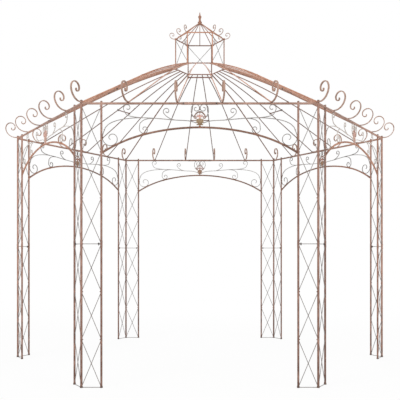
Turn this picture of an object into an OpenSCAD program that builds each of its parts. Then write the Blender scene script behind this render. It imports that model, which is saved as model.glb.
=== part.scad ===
// Six-sided garden gazebo of iron tube and bent bar, with an open rib roof and a lantern.
// Millimetres, +Z up. The origin is on the ground, on the axis under the finial.

/* [Plan] */
// Length of each side, from corner post to corner post
side_len = 2000; // [1700:10:2600]
// Width of each flat of a corner column, from its corner post to its outer tube
column_w = 169; // [130:1:220]
// Distance from the middle of a roof side to its two inner ribs
inner_rib_x = 190; // [140:1:260]
// Distance from the middle of a roof side to its two outer ribs
outer_rib_x = 605; // [480:1:700]
// Length of the sleeve that joins the two halves of each eave rail
splice_len = 310; // [160:5:360]

/* [Heights] */
// Height of the eave rails' centre line
eave_h = 2400; // [2100:10:2900]
// Height of the joint between the lower and the upper half of each column
joint_h = 1215; // [1000:5:1400]
// Drop from the eave rails to the feet of the arches
header_drop = 420; // [360:5:560]
// Rise of each arch from its feet to its crown
arch_rise = 218; // [140:2:250]
// Rise of the roof from the eave rails to the crown ring
roof_rise = 765; // [500:5:1000]
// Rise of the lantern from the crown ring to its own eave ring
lantern_h = 326; // [220:2:460]
// Rise of the lantern's roof
lantern_rise = 183; // [120:1:260]
// Height of the finial above the lantern's roof
finial_h = 118; // [80:1:180]

/* [Roof shape] */
// Distance of the crown ring's corners from the axis
ring_r = 266; // [200:1:360]
// Share of the run at which a rib's two straight directions would meet
bend_run = 0.75; // [0.65:0.01:0.85]
// Share of the rise that a rib has gained there
bend_rise = 0.835; // [0.75:0.005:0.88]
// Share of the run, from the eave, at which a crossbar joins the two inner ribs
crossbar_run = 0.467; // [0.3:0.005:0.5]

/* [Tubes and bars] */
// Diameter of the corner posts
post_d = 20; // [16:1:30]
// Diameter of the outer tubes of the columns
side_tube_d = 18; // [12:1:18]
// Diameter of the eave rails, a little more than that of the outer tubes
rail_d = 19; // [19:1:24]
// Diameter of the arches, a little less than that of the outer tubes
arch_d = 17; // [11:1:17]
// Diameter of the hip rafters
hip_d = 13; // [10:1:18]
// Diameter of the roof ribs
rib_d = 10; // [8:1:14]
// Diameter of the lantern's posts and of the two rings
ring_d = 12; // [10:1:16]
// Diameter of the lattice and bracing rods
rod_d = 6; // [4:0.5:9]
// Side of the square bar of the scrollwork
bar_w = 6; // [4:0.5:8]
// Thickness of the flat bar of the eave scrolls
eave_bar_w = 8; // [6:0.5:10]
// Width of the flat bar of the eave scrolls, across the roof
eave_bar_depth = 14; // [8:1:20]
// Thickness that a sleeve, socket or cap adds all round a tube
sleeve_t = 2; // [1:0.5:4]

/* [Ornament] */
// Crossed rods in each half of a column
crosses = 3; // [2:1:5]
// Height of the eave scrolls
eave_scroll_h = 165; // [110:1:200]
// Height of the lantern's scrolls
lantern_scroll_h = 68; // [40:1:90]

/* [Hidden] */
SIDES = ["front", "front_right", "back_right", "back", "back_left", "front_left"];
CORNERS = ["front_right", "right", "back_right", "back_left", "left", "front_left"];

half = side_len / 2;
apothem = side_len * sqrt(3) / 2;
ring_apothem = ring_r * sqrt(3) / 2;
tube_x = half - column_w;
spring_h = eave_h - header_drop;
ring_h = eave_h + roof_rise;
lantern_eave_h = ring_h + lantern_h;
apex_h = lantern_eave_h + lantern_rise;
rail_top = eave_h + rail_d / 2;
post_top = rail_top + hip_d + 2;
socket_d = ring_d + 2 * sleeve_t + 2;
cap_h = 14;
joint_len = 60;
rod_inset = 2 * rod_d;
foot_rod_h = rod_d / 2 + 1;
lantern_rib_d = 0.8 * rib_d;
boss_d = 5 * lantern_rib_d;
boss_h = 24;
sink = 2;
fine = 64;
rod_sides = 8;

IRON = "#8d6a5c";
ROD_IRON = "#9a8a80";

// ---- paths and bent bars

function unit(v) = v / norm(v);
function headings(p) =
    [for (i = [0 : len(p) - 1]) unit(p[min(i + 1, len(p) - 1)] - p[max(i - 1, 0)])];

// Outline of a bar of width w bent along the path p
function bar_outline(p, w) =
    let (side = [for (h = headings(p)) [-h[1], h[0]] * w / 2])
    concat([for (i = [0 : len(p) - 1]) p[i] + side[i]],
           [for (i = [len(p) - 1 : -1 : 0]) p[i] - side[i]]);

// Spiral round c whose radius runs from r0 to r1 as the angle runs from a0 to a1
function spiral(c, r0, r1, a0, a1, n) =
    [for (i = [0 : n]) let (u = i / n, a = a0 + (a1 - a0) * u)
        c + (r0 + (r1 - r0) * u) * [cos(a), sin(a)]];

// Smooth curve through the knots k, with n steps between neighbours
function smooth(k, n) =
    [for (i = [0 : len(k) - 2])
        let (a = k[max(i - 1, 0)], b = k[i], c = k[i + 1], d = k[min(i + 2, len(k) - 1)])
        for (j = [0 : (i == len(k) - 2 ? n : n - 1)])
            let (u = j / n)
            b + (c - a) * u / 2 + (2 * a - 5 * b + 4 * c - d) * u * u / 2
              + (3 * b - 3 * c + d - a) * u * u * u / 2];

// Bar of thickness w and width t bent along the path p, in the XZ plane. It is square
// where no width is given.
module bent_bar(p, w, t = 0) {
    rotate([90, 0, 0])
        linear_extrude(t > 0 ? t : w, center = true)
            polygon(bar_outline(p, w));
}

// Straight rod between two points
module rod(a, b, d, sides = fine) {
    v = b - a;
    translate(a)
        rotate([0, acos(v[2] / norm(v)), atan2(v[1], v[0])])
            cylinder(d = d, h = norm(v), $fn = sides);
}

// Upright tube at x, y between two heights
module upright(x, y, d, from, to) {
    translate([x, y, from])
        cylinder(d = d, h = to - from, $fn = fine);
}

// ---- places on the plan

// Turns what is drawn on the front side, where Y is minus the apothem, to side i
module on_side(i) {
    rotate(60 * i)
        children();
}

// Turns what is drawn along +X to corner i
module on_corner(i) {
    rotate(60 * i - 60)
        children();
}

module post_space(i) {
    on_corner(i)
        upright(side_len, 0, post_d, -1, post_top + 1);
}

module rail_space() {
    rod([-half, -apothem, eave_h], [half, -apothem, eave_h], rail_d);
}

// ---- columns

module corner_post(i) {
    color(IRON)
        on_corner(i) {
            upright(side_len, 0, post_d, 0, post_top);
            upright(side_len, 0, post_d + 2 * sleeve_t, 0, cap_h);
            upright(side_len, 0, post_d + sleeve_t, joint_h - joint_len / 2, joint_h + joint_len / 2);
        }
}

// Crossed rods between two heights, from the post to the outer tube
module crossed_rods(from, to) {
    step = (to - from) / crosses;
    for (k = [0 : crosses - 1]) {
        low = from + k * step;
        rod([half, -apothem, low], [tube_x, -apothem, low + step], rod_d, rod_sides);
        rod([tube_x, -apothem, low], [half, -apothem, low + step], rod_d, rod_sides);
    }
}

module level_rod(z) {
    rod([tube_x, -apothem, z], [half, -apothem, z], rod_d, rod_sides);
}

// The flat of a column at the right-hand end of the front side
module right_lattice() {
    color(ROD_IRON)
        difference() {
            union() {
                upright(tube_x, -apothem, side_tube_d, 0, rail_top + cap_h / 2);
                upright(tube_x, -apothem, side_tube_d + 2 * sleeve_t, 0, cap_h);
                upright(tube_x, -apothem, side_tube_d + sleeve_t,
                        joint_h - joint_len / 2, joint_h + joint_len / 2);
                crossed_rods(foot_rod_h, joint_h);
                crossed_rods(joint_h, eave_h - rail_d / 2 - rod_inset);
                level_rod(foot_rod_h);
                level_rod(joint_h);
            }
            post_space(0);
            upright(half, -apothem, post_d + sleeve_t, joint_h - joint_len / 2, joint_h + joint_len / 2);
            upright(half, -apothem, post_d + 2 * sleeve_t, -1, cap_h);
            rail_space();
        }
}

module lattice(i, end) {
    on_side(i)
        mirror([end == 0 ? 1 : 0, 0, 0])
            right_lattice();
}

// ---- headers

module eave_rail(i) {
    color(IRON)
        difference() {
            on_side(i) {
                rail_space();
                rod([-splice_len / 2, -apothem, eave_h], [splice_len / 2, -apothem, eave_h],
                    rail_d + 2 * sleeve_t);
            }
            post_space(i);
            post_space((i + 5) % 6);
        }
}

// The arch has three centres: a flat middle arc and a tighter haunch at each end
flat_r = 1.12 * (tube_x * tube_x + arch_rise * arch_rise) / (2 * arch_rise);
flat_centre = [0, spring_h + arch_rise - flat_r];
seam_x = 0.587 * tube_x;
flat_turn = asin(seam_x / flat_r);
seam = flat_centre + flat_r * [sin(flat_turn), cos(flat_turn)];
foot = [tube_x, spring_h];
inward = unit(flat_centre - seam);
haunch_r = (foot - seam) * (foot - seam) / (2 * (foot - seam) * inward);
haunch_centre = seam + haunch_r * inward;
foot_turn = atan2(foot[1] - haunch_centre[1], foot[0] - haunch_centre[0]);

// Tube bent to the radius r round c, in the plane of the front side
module arc_tube(c, r, from, to, d) {
    translate([c[0], -apothem, c[1]])
        rotate([90, 0, 0])
            rotate(from)
                rotate_extrude(angle = to - from, $fn = 4 * fine)
                    translate([r, 0])
                        circle(d = d, $fn = fine);
}

module arch_tube() {
    arc_tube(flat_centre, flat_r, 90 - flat_turn, 90 + flat_turn, arch_d);
    for (m = [0, 1])
        mirror([m, 0, 0]) {
            arc_tube(haunch_centre, haunch_r, foot_turn, 90 - flat_turn, arch_d);
            translate([seam[0], -apothem, seam[1]])
                rotate([0, 90 + flat_turn, 0])
                    cylinder(d = arch_d + 2 * sleeve_t, h = arch_d, center = true, $fn = fine);
        }
}

// A point of the scrollwork: u is its share of the way out from the middle to the outer
// tube, and v its share of the way up from the arch's feet to the rail
function at(u, v) = [u * tube_x, spring_h + v * header_drop];
function path(k) = smooth([for (q = k) at(q[0], q[1])], 3);

// Curl round the point u, v, its radii given as shares of the header's drop
function curl(u, v, r0, r1, a0, a1, n) =
    spiral(at(u, v), r0 * header_drop, r1 * header_drop, a0, a1, n);

// Main scroll: a long stem that ends in a curl between the outer tube and the arch
main_curl = curl(0.8975, 0.301, 0.19, 0.029, 25, -415, 26);
main_stem = path([[0.036, 0.605], [0.075, 0.634], [0.132, 0.654], [0.259, 0.667], [0.397, 0.692],
                  [0.548, 0.711], [0.67, 0.708], [0.77, 0.685], [0.85, 0.652], [0.918, 0.594],
                  [0.96, 0.515]]);
main_scroll = concat(main_stem, main_curl);

// Small scrolls that leave the main one: two curl up towards the rail, one down to the arch
branches = [
    concat(path([[0.25, 0.664], [0.3, 0.694], [0.34, 0.742]]),
           curl(0.336, 0.845, 0.0755, 0.019, -38, 336, 18)),
    concat(path([[0.58, 0.711], [0.66, 0.727], [0.72, 0.752], [0.752, 0.79]]),
           curl(0.734, 0.911, 0.0905, 0.021, -46, 318, 18)),
    concat(path([[0.47, 0.701], [0.53, 0.691], [0.575, 0.66], [0.608, 0.6]]),
           curl(0.564, 0.482, 0.105, 0.019, 20, -400, 22))];

// Heart of two scrolls between the casting and the rail
heart_curl = curl(0.0375, 0.899, 0.0975, 0.017, 6, 470, 26);
heart_scroll = concat(path([[0.055, 0.71], [0.074, 0.76], [0.089, 0.83]]), heart_curl);

// Half of the collar that holds the two scrolls of the heart together
module heart_collar() {
    translate([0, -bar_w, at(0, 0.87)[1]])
        cube([1.1 * bar_w, 2 * bar_w, 3.5 * bar_w]);
}

module header_scrolls() {
    bent_bar(main_scroll, bar_w);
    for (p = branches)
        bent_bar(p, bar_w);
    bent_bar(heart_scroll, bar_w);
    heart_collar();
}

module arched_header(i) {
    color(IRON)
        on_side(i)
            difference() {
                union() {
                    arch_tube();
                    translate([0, -apothem, 0]) {
                        header_scrolls();
                        mirror([1, 0, 0])
                            header_scrolls();
                    }
                }
                rail_space();
                for (s = [-1, 1])
                    upright(s * tube_x, -apothem, side_tube_d, 0, eave_h);
            }
}

// ---- castings on the crowns of the arches

cast_h = 0.31 * header_drop;
// A point of the casting, in hundredths of its height, up from the arch's top line
function cast_at(x, z) =
    [x * cast_h / 100, spring_h + arch_rise + arch_d / 2 + z * cast_h / 100];

// Plate of thickness t whose outline runs through the points p and back down their mirror
module cast_plate(p, t) {
    rotate([90, 0, 0])
        linear_extrude(t, center = true)
            polygon(concat([for (q = p) cast_at(q[0], q[1])],
                           [for (k = [len(p) - 1 : -1 : 0]) cast_at(-p[k][0], p[k][1])]));
}

// Volute of a bar of width w and thickness t
module volute(x, z, r0, r1, a0, a1, w, t) {
    k = cast_h / 100;
    bent_bar(spiral(cast_at(x, z), r0 * k, r1 * k, a0, a1, 16), w * k, t);
}

leaf = [[3.5, 8], [8, 9], [21, 8], [17, 16], [27, 22], [20, 28], [24, 37], [17, 40], [15, 47]];
inner_leaf = [[3, 11], [11, 14], [9, 21], [17, 28], [12, 33], [13, 44]];
stem = [[3, 40], [2.5, 60], [3, 92]];
brow = [[1, 88], [11, 83], [20, 77], [31, 66], [37, 69], [32, 77], [21, 84], [11, 90], [3, 98]];
rim_line = smooth([[12, 44], [19, 49], [23, 58], [23, 68], [20, 79]], 3);

// Leaf on a foot, and over it an open panel under a brow: two small volutes beside a stem,
// inside a rim, with a large volute on each side
module header_casting() {
    k = cast_h / 100;
    foot_h = spring_h + arch_rise + arch_d / 4;
    translate([0, 0, foot_h])
        cylinder(d = 15 * k, h = arch_d / 4 + 3 * k, $fn = fine);
    translate([0, 0, foot_h])
        cylinder(d = 10 * k, h = 20 * k, $fn = fine);
    cast_plate(leaf, 7 * k);
    cast_plate(inner_leaf, 10 * k);
    cast_plate(stem, 8 * k);
    cast_plate(brow, 9 * k);
    for (m = [0, 1])
        mirror([m, 0, 0]) {
            bent_bar([for (q = rim_line) cast_at(q[0], q[1])], 4 * k, 6.5 * k);
            volute(30, 58, 10.5, 4, 100, -330, 4.5, 8.5 * k);
            volute(11.5, 67, 8, 2.6, 180, -240, 3.2, 7.5 * k);
        }
    translate([0, 0, cast_at(0, 88)[1]])
        rotate_extrude($fn = fine)
            polygon([[0, 0], [5 * k, 0], [3 * k, 4 * k], [5 * k, 7 * k], [2 * k, 10 * k], [0, 14 * k]]);
}

// The parts of the scrolls that reach the casting
module casting_bars() {
    bent_bar([for (j = [0 : 7]) main_scroll[j]], bar_w);
    bent_bar([for (j = [0 : 7]) heart_scroll[j]], bar_w);
}

module header_castings() {
    color(IRON)
        for (i = [0 : 5])
            on_side(i)
                difference() {
                    translate([0, -apothem, 0])
                        header_casting();
                    arc_tube(flat_centre, flat_r, 85, 95, arch_d);
                    translate([0, -apothem, 0]) {
                        casting_bars();
                        mirror([1, 0, 0])
                            casting_bars();
                    }
                }
}

// ---- roof

// A rib in the XZ plane, from the distance r0 at the eave to r1 at the ring: straight up to
// a sleeve, then one arc. Both lie on the two straight directions that meet at the bend.
module rib(r0, r1, d) {
    start = [r0, rail_top];
    bend = [r0 + (r1 - r0) * bend_run, rail_top + (ring_h - rail_top) * bend_rise];
    end = [r1, ring_h];
    up = unit(bend - start);
    on = unit(end - bend);
    reach = norm(end - bend);
    seam = bend - reach * up;
    turn = acos(up * on);
    arc_r = reach / tan(turn / 2);
    centre = seam + arc_r * [up[1] > 0 ? -up[1] : up[1], up[0]];
    from = seam - centre;
    rod([start[0], 0, start[1]], [seam[0], 0, seam[1]], d);
    rod([seam[0] - joint_len / 3 * up[0], 0, seam[1] - joint_len / 3 * up[1]],
        [seam[0] + joint_len / 3 * up[0], 0, seam[1] + joint_len / 3 * up[1]], d + sleeve_t);
    translate([centre[0], 0, centre[1]])
        rotate([90, 0, 0])
            rotate(atan2(from[1], from[0]))
                rotate_extrude(angle = turn, $fn = 8 * fine)
                    translate([arc_r, 0])
                        circle(d = d, $fn = fine);
}

// Turns what is drawn along +X to the rib that leaves the front rail at x
module on_rib(x) {
    rotate(atan2(-apothem, x))
        children();
}

function rib_r0(x) = norm([x, apothem]);
function rib_r1(x) = ring_apothem * rib_r0(x) / apothem;

RIB_XS = [-outer_rib_x, -inner_rib_x, inner_rib_x, outer_rib_x];

module ring_bar_space(h) {
    rod([-ring_r / 2, -ring_apothem, h], [ring_r / 2, -ring_apothem, h], ring_d);
}

module roof_ribs(i) {
    out = 1 - crossbar_run * (1 - ring_apothem / apothem);
    color(IRON)
        on_side(i)
            difference() {
                union() {
                    for (x = RIB_XS)
                        on_rib(x)
                            rib(rib_r0(x), rib_r1(x), rib_d);
                    rod([-inner_rib_x * out, -apothem * out, crossbar_h],
                        [inner_rib_x * out, -apothem * out, crossbar_h], rod_d + sleeve_t);
                }
                rail_space();
                rod([-splice_len / 2, -apothem, eave_h], [splice_len / 2, -apothem, eave_h],
                    rail_d + 2 * sleeve_t);
                ring_bar_space(ring_h);
            }
}

// Height of the ribs where the crossbars lie
crossbar_h = rail_top + (ring_h - rail_top) * bend_rise * crossbar_run / bend_run;

module socket(h) {
    upright(ring_r, 0, socket_d, h - socket_d / 2, h + socket_d / 2);
}

module hip_rafters() {
    color(IRON)
        for (i = [0 : 5])
            difference() {
                on_corner(i)
                    rib(side_len, ring_r, hip_d);
                post_space(i);
                on_corner(i)
                    socket(ring_h);
            }
}

module crown_ring() {
    color(IRON)
        for (i = [0 : 5]) {
            on_side(i)
                ring_bar_space(ring_h);
            on_corner(i)
                socket(ring_h);
        }
}

// Line of an eave scroll in shares of its height: a tail on the rail, then one and a half turns
scroll_line = smooth([[0, 0.01], [0.17, 0.01], [0.34, 0.06], [0.52, 0.17], [0.66, 0.34],
                      [0.74, 0.54], [0.735, 0.72], [0.66, 0.87], [0.53, 0.96], [0.38, 0.97],
                      [0.24, 0.91], [0.14, 0.79], [0.12, 0.65], [0.18, 0.53], [0.28, 0.5],
                      [0.36, 0.55], [0.355, 0.64]], 2);

// Scroll of height h that stands on its tail, drawn from x = 0 outward along +X
module eave_scroll(h, w, t, wide = 1) {
    bent_bar([for (q = scroll_line) [q[0] * wide * h, q[1] * h + w / 2 - sink]], w, t);
}

module eave_scrolls() {
    color(IRON) {
        for (i = [0 : 5]) {
            difference() {
                on_corner(i)
                    translate([side_len + post_d / 2 - 1, 0, rail_top])
                        eave_scroll(eave_scroll_h, eave_bar_w, eave_bar_depth);
                post_space(i);
            }
            on_side(i)
                difference() {
                    for (x = RIB_XS)
                        on_rib(x)
                            translate([rib_r0(x) + rib_d / 3, 0, rail_top])
                                eave_scroll(eave_scroll_h, eave_bar_w, eave_bar_depth);
                    rail_space();
                }
        }
    }
}

// ---- lantern

module lantern_cage() {
    low = ring_h + socket_d / 2;
    color(IRON)
        for (i = [0 : 5]) {
            on_corner(i) {
                upright(ring_r, 0, ring_d, low, lantern_eave_h);
                socket(lantern_eave_h);
            }
            on_side(i)
                ring_bar_space(lantern_eave_h);
            if (i % 2 == 1)
                on_side(i)
                    for (s = [-1, 1])
                        rod([s * ring_r / 2, -ring_apothem, low + rod_inset],
                            [-s * ring_r / 2, -ring_apothem, lantern_eave_h - rod_inset], rod_d, rod_sides);
        }
}

// Straight rib of the lantern's roof, from the distance r into the boss
module lantern_rib(r) {
    in = (boss_d / 2 - 3) / r;
    rod([r, 0, lantern_eave_h], [r * in, 0, apex_h + (lantern_eave_h - apex_h) * in], lantern_rib_d);
}

module lantern_roof() {
    color(IRON)
        difference() {
            union() {
                translate([0, 0, apex_h - boss_h])
                    cylinder(d = boss_d, h = boss_h, $fn = fine);
                for (i = [0 : 5]) {
                    on_corner(i)
                        lantern_rib(ring_r);
                    on_side(i)
                        on_rib(0)
                            lantern_rib(ring_apothem);
                }
            }
            for (i = [0 : 5]) {
                on_corner(i)
                    socket(lantern_eave_h);
                on_side(i)
                    ring_bar_space(lantern_eave_h);
            }
        }
}

module lantern_scrolls() {
    color(IRON)
        for (i = [0 : 5]) {
            on_corner(i)
                difference() {
                    translate([ring_r + socket_d / 2 - 1, 0, lantern_eave_h])
                        eave_scroll(lantern_scroll_h, bar_w, bar_w, 1.12);
                    socket(lantern_eave_h);
                }
            on_side(i)
                difference() {
                    on_rib(0)
                        translate([ring_apothem + 1, 0, lantern_eave_h + ring_d / 2])
                            eave_scroll(lantern_scroll_h, bar_w, bar_w, 1.12);
                    ring_bar_space(lantern_eave_h);
                }
        }
}

// Turned bud and spike. Each point is a share of the boss's diameter and of the height.
module finial() {
    profile = [[0, 0], [0.56, 0], [0.56, 0.05], [0.4, 0.09], [0.3, 0.2], [0.28, 0.32], [0.34, 0.42],
               [0.43, 0.49], [0.45, 0.55], [0.38, 0.61], [0.22, 0.65], [0.16, 0.69], [0.2, 0.73],
               [0.15, 0.78], [0.09, 0.9], [0, 1]];
    color(IRON)
        translate([0, 0, apex_h])
            rotate_extrude($fn = fine)
                polygon([for (q = profile) [q[0] * boss_d, q[1] * finial_h]]);
}

for (i = [0 : 5])
    corner_post(i);
for (i = [0 : 5], e = [0, 1])
    lattice(i, e);
for (i = [0 : 5])
    eave_rail(i);
for (i = [0 : 5])
    arched_header(i);
for (i = [0 : 5])
    roof_ribs(i);
hip_rafters();
crown_ring();
eave_scrolls();
header_castings();
lantern_cage();
lantern_roof();
lantern_scrolls();
finial();
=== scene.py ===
# %% [markdown]
# # A six-sided iron garden gazebo
#
# The gazebo is an open frame of bent steel tube and bar, painted antique brown. All its main
# forms - columns, arches, scrollwork, roof ribs and lantern - are already solids of the
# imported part. This lesson dresses them: it gives every solid a worn paint that changes from
# place to place, and adds what a welder, a founder and a fitter leave behind: weld beads,
# bolts, caps, crossbar covers, rolled rims and castings with their relief.

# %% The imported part
from math import asin, atan2, cos, degrees, hypot, pi, radians, sin, sqrt

import bmesh
import bpy
from mathutils import Matrix, Vector


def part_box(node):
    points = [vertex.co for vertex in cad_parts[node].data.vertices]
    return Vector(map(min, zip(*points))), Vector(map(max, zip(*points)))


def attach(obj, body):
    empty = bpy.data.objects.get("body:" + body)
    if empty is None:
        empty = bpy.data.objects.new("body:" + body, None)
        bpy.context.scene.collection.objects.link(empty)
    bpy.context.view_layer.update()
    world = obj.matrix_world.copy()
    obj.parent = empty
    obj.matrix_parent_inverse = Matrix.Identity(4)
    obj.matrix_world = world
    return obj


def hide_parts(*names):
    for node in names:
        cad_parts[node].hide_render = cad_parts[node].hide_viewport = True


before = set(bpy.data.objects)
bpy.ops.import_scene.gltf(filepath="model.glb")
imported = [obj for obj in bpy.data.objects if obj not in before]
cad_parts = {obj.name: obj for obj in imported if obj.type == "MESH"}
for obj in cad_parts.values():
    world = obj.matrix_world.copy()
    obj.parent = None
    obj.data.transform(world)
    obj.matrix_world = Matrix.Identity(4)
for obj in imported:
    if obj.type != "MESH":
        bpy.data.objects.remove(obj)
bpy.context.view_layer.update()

# %% [markdown]
# ## Measures
#
# Everything that is added has to sit on the real tubes. Most of their lines can be read from
# the frame, and only what the box of a node can't give, such as a bar's thickness, is
# written here as a number, in metres.

# %% Thicknesses and shares
# Outside diameters of tubes and rods, and the wall of a sleeve
POST_D = 0.020
SIDE_TUBE_D = 0.018
RAIL_D = 0.019
ARCH_D = 0.017
HIP_D = 0.013
RIB_D = 0.010
RING_D = 0.012
CROSSBAR_D = 0.008
ROD_D = 0.006
BAR_W = 0.006
SLEEVE_T = 0.002
# Lengths, heights, and places along a side
SPLICE_LEN = 0.310
JOINT_H = 1.215
INNER_RIB_X = 0.190
OUTER_RIB_X = 0.605
HEADER_DROP = 0.420
ARCH_RISE = 0.218
# Shares of a rib's run and rise at its bend, and of its run at the crossbar
BEND_RUN = 0.75
BEND_RISE = 0.835
CROSSBAR_RUN = 0.467
# Crossings of a column's rods below its joint, and as many above it
CROSSES = 3
print(f"posts are {1000 * POST_D:.0f} mm thick, ribs {1000 * RIB_D:.0f} mm and rods {1000 * ROD_D:.0f} mm")

# %% [markdown]
# The main lines are read from the boxes of the nodes: a post's axis is the middle of its
# box, and the rail's height is the middle of the rail's box. The apothem is the distance
# from the axis of the gazebo to the middle of a side.

# %% Main lines of the frame
post_low, post_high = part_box("front_right_corner_post")
rail_low, rail_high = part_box("front_eave_rail")
lattice_low, lattice_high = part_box("front_lattice_right")
ring_low, ring_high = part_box("crown_ring")
half_ring_h = (ring_high.z - ring_low.z) / 2

HALF = (post_low.x + post_high.x) / 2
APOTHEM = -(post_low.y + post_high.y) / 2
SIDE_LEN = 2 * HALF
EAVE_H = (rail_low.z + rail_high.z) / 2
RAIL_TOP = EAVE_H + RAIL_D / 2
TUBE_X = lattice_low.x + SIDE_TUBE_D / 2 + SLEEVE_T
SPRING_H = EAVE_H - HEADER_DROP
POST_TOP = post_high.z
TUBE_TOP = lattice_high.z
RING_H = (ring_low.z + ring_high.z) / 2
RING_R = ring_high.x - half_ring_h
RING_APOTHEM = RING_R * sqrt(3) / 2
LANTERN_EAVE_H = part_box("lantern_cage")[1].z - half_ring_h
APEX_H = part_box("lantern_roof")[1].z
print(f"post at {HALF:.3f}, tube at {TUBE_X:.3f}, eave {EAVE_H:.3f}, ring {RING_R:.3f} at {RING_H:.3f}, "
      f"lantern eave {LANTERN_EAVE_H:.3f}, apex {APEX_H:.3f}")

# %% [markdown]
# ## Camera
#
# The eye stands in front of the doorway at chest height and looks level, so that uprights
# stay upright. The lens is shifted up instead of tilted, which keeps the columns parallel
# and brings the finial into the frame.

# %% The eye
EYE = Vector((0, -7.4676, 1.1215))
eye_data = bpy.data.cameras.new("eye")
eye_data.sensor_width = 36
eye_data.lens = 61.16
eye_data.shift_x = 0.0004
eye_data.shift_y = 0.1373
eye_data.clip_end = 200
eye = bpy.data.objects.new("eye", eye_data)
eye.location = EYE
eye.rotation_euler = (radians(90), 0, 0)
bpy.context.scene.collection.objects.link(eye)
bpy.context.scene.camera = eye
print(f"eye {-EYE.y:.2f} m in front of the axis, {EYE.z:.2f} m up")

# %% [markdown]
# ## Nodes
#
# A material is a tree of nodes, and most of its lines only make a node, set its sockets and
# link it. The same few kinds come back in every finish, so they get helpers, most of which
# return the socket to go on from. A finish then reads like a sentence.

# %% Helpers for nodes
def add(tree, kind, **values):
    """A node of that kind, with its settings and the starting values of its sockets."""
    node = tree.nodes.new(kind)
    for key, value in values.items():
        if hasattr(node, key) and key not in node.inputs:
            setattr(node, key, value)
        else:
            node.inputs[key].default_value = value
    return node


def math_node(tree, operation, a, b=None):
    """The output of a Math node; a and b are sockets or plain numbers."""
    node = add(tree, "ShaderNodeMath", operation=operation)
    for k, value in enumerate([a] if b is None else [a, b]):
        if isinstance(value, (int, float)):
            node.inputs[k].default_value = value
        else:
            tree.links.new(value, node.inputs[k])
    return node.outputs[0]


def mapped(tree, value, low, high, to_low=0.0, to_high=1.0, smooth=False):
    """The value carried from the range low to high to the range to_low to to_high."""
    node = add(tree, "ShaderNodeMapRange", interpolation_type="SMOOTHSTEP" if smooth else "LINEAR")
    for socket, bound in (("From Min", low), ("From Max", high), ("To Min", to_low), ("To Max", to_high)):
        node.inputs[socket].default_value = bound
    tree.links.new(value, node.inputs["Value"])
    return node.outputs["Result"]


def place_on_object(tree):
    """The place of a point on its object, which all the patterns read."""
    return tree.nodes.new("ShaderNodeTexCoord").outputs["Object"]


def three_axes(tree, place):
    """The X, Y and Z of a place."""
    split = tree.nodes.new("ShaderNodeSeparateXYZ")
    tree.links.new(place, split.inputs[0])
    return split.outputs


def fresh_material(name):
    """A new material with an empty node tree, and that tree."""
    material = bpy.data.materials.new(name)
    material.use_nodes = True
    material.node_tree.nodes.clear()
    return material, material.node_tree


print("helpers for nodes are ready")

# %% [markdown]
# ## Studio
#
# A pale floor runs out of sight, and large soft lamps stand round the gazebo, as in a
# product studio. The floor and the surround are plain white to the eye and in
# reflections, while the light on the iron keeps a plain level. The floor's material mixes
# that white with a matt surface, so the gazebo's shadow still falls on it, and fades to
# pure white further out, so that no horizon shows between the columns.

# %% Floor
WHITE = (1, 1, 1, 1)
FLOOR_GREY = (0.86, 0.86, 0.86, 1)
FLOOR_HALF = 60
FADE_FROM, FADE_TO = 2.5, 9
WHITE_NEAR = 0.9


def seen_directly(tree):
    """1 where the eye, a mirror or a glass looks straight at the surface, otherwise 0."""
    path = tree.nodes.new("ShaderNodeLightPath")
    eye_or_mirror = math_node(tree, "MAXIMUM", path.outputs["Is Camera Ray"], path.outputs["Is Glossy Ray"])
    return math_node(tree, "MAXIMUM", eye_or_mirror, path.outputs["Is Transmission Ray"])


def end_in_mix(tree, share, first, second, output):
    """Ends the tree in a mix of two shaders, with that share of the second one."""
    mix = tree.nodes.new("ShaderNodeMixShader")
    for source, socket in zip((share, first.outputs[0], second.outputs[0]), mix.inputs):
        tree.links.new(source, socket)
    tree.links.new(mix.outputs[0], tree.nodes.new(output).inputs["Surface"])


def floor_material():
    material, tree = fresh_material("pale_floor")
    matt = add(tree, "ShaderNodeBsdfDiffuse", Color=FLOOR_GREY)
    glow = add(tree, "ShaderNodeEmission", Color=WHITE, Strength=1)
    reach = add(tree, "ShaderNodeVectorMath", operation="LENGTH")
    tree.links.new(place_on_object(tree), reach.inputs[0])
    whiten = mapped(tree, reach.outputs["Value"], FADE_FROM, FADE_TO, WHITE_NEAR, smooth=True)
    share = math_node(tree, "MULTIPLY", seen_directly(tree), whiten)
    end_in_mix(tree, share, matt, glow, "ShaderNodeOutputMaterial")
    return material


def studio_floor():
    bm = bmesh.new()
    bmesh.ops.create_grid(bm, x_segments=1, y_segments=1, size=FLOOR_HALF)
    mesh = bpy.data.meshes.new("studio_floor")
    bm.to_mesh(mesh)
    bm.free()
    mesh.materials.append(floor_material())
    floor = bpy.data.objects.new("studio_floor", mesh)
    bpy.context.scene.collection.objects.link(floor)


studio_floor()
print("the floor reaches", FLOOR_HALF, "m out")

# %% [markdown]
# Large soft lamps give every tube one long, gentle highlight, which shows that it is round.
# A small lamp would draw a hard line on it instead. The surround could light the iron on its
# own, but then nothing would have a bright and a dark side, so it only fills the shadows.

# %% Surround and soft lamps
LAMP_AIM = Vector((0, 0, 1.8))


def studio_surround(fill):
    """White to the eye, and a fill of that strength for the iron."""
    world = bpy.data.worlds.new("surround")
    bpy.context.scene.world = world
    world.use_nodes = True
    tree = world.node_tree
    tree.nodes.clear()
    white = add(tree, "ShaderNodeBackground", Color=WHITE, Strength=1)
    soft = add(tree, "ShaderNodeBackground", Color=WHITE, Strength=fill)
    end_in_mix(tree, seen_directly(tree), soft, white, "ShaderNodeOutputWorld")


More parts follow.
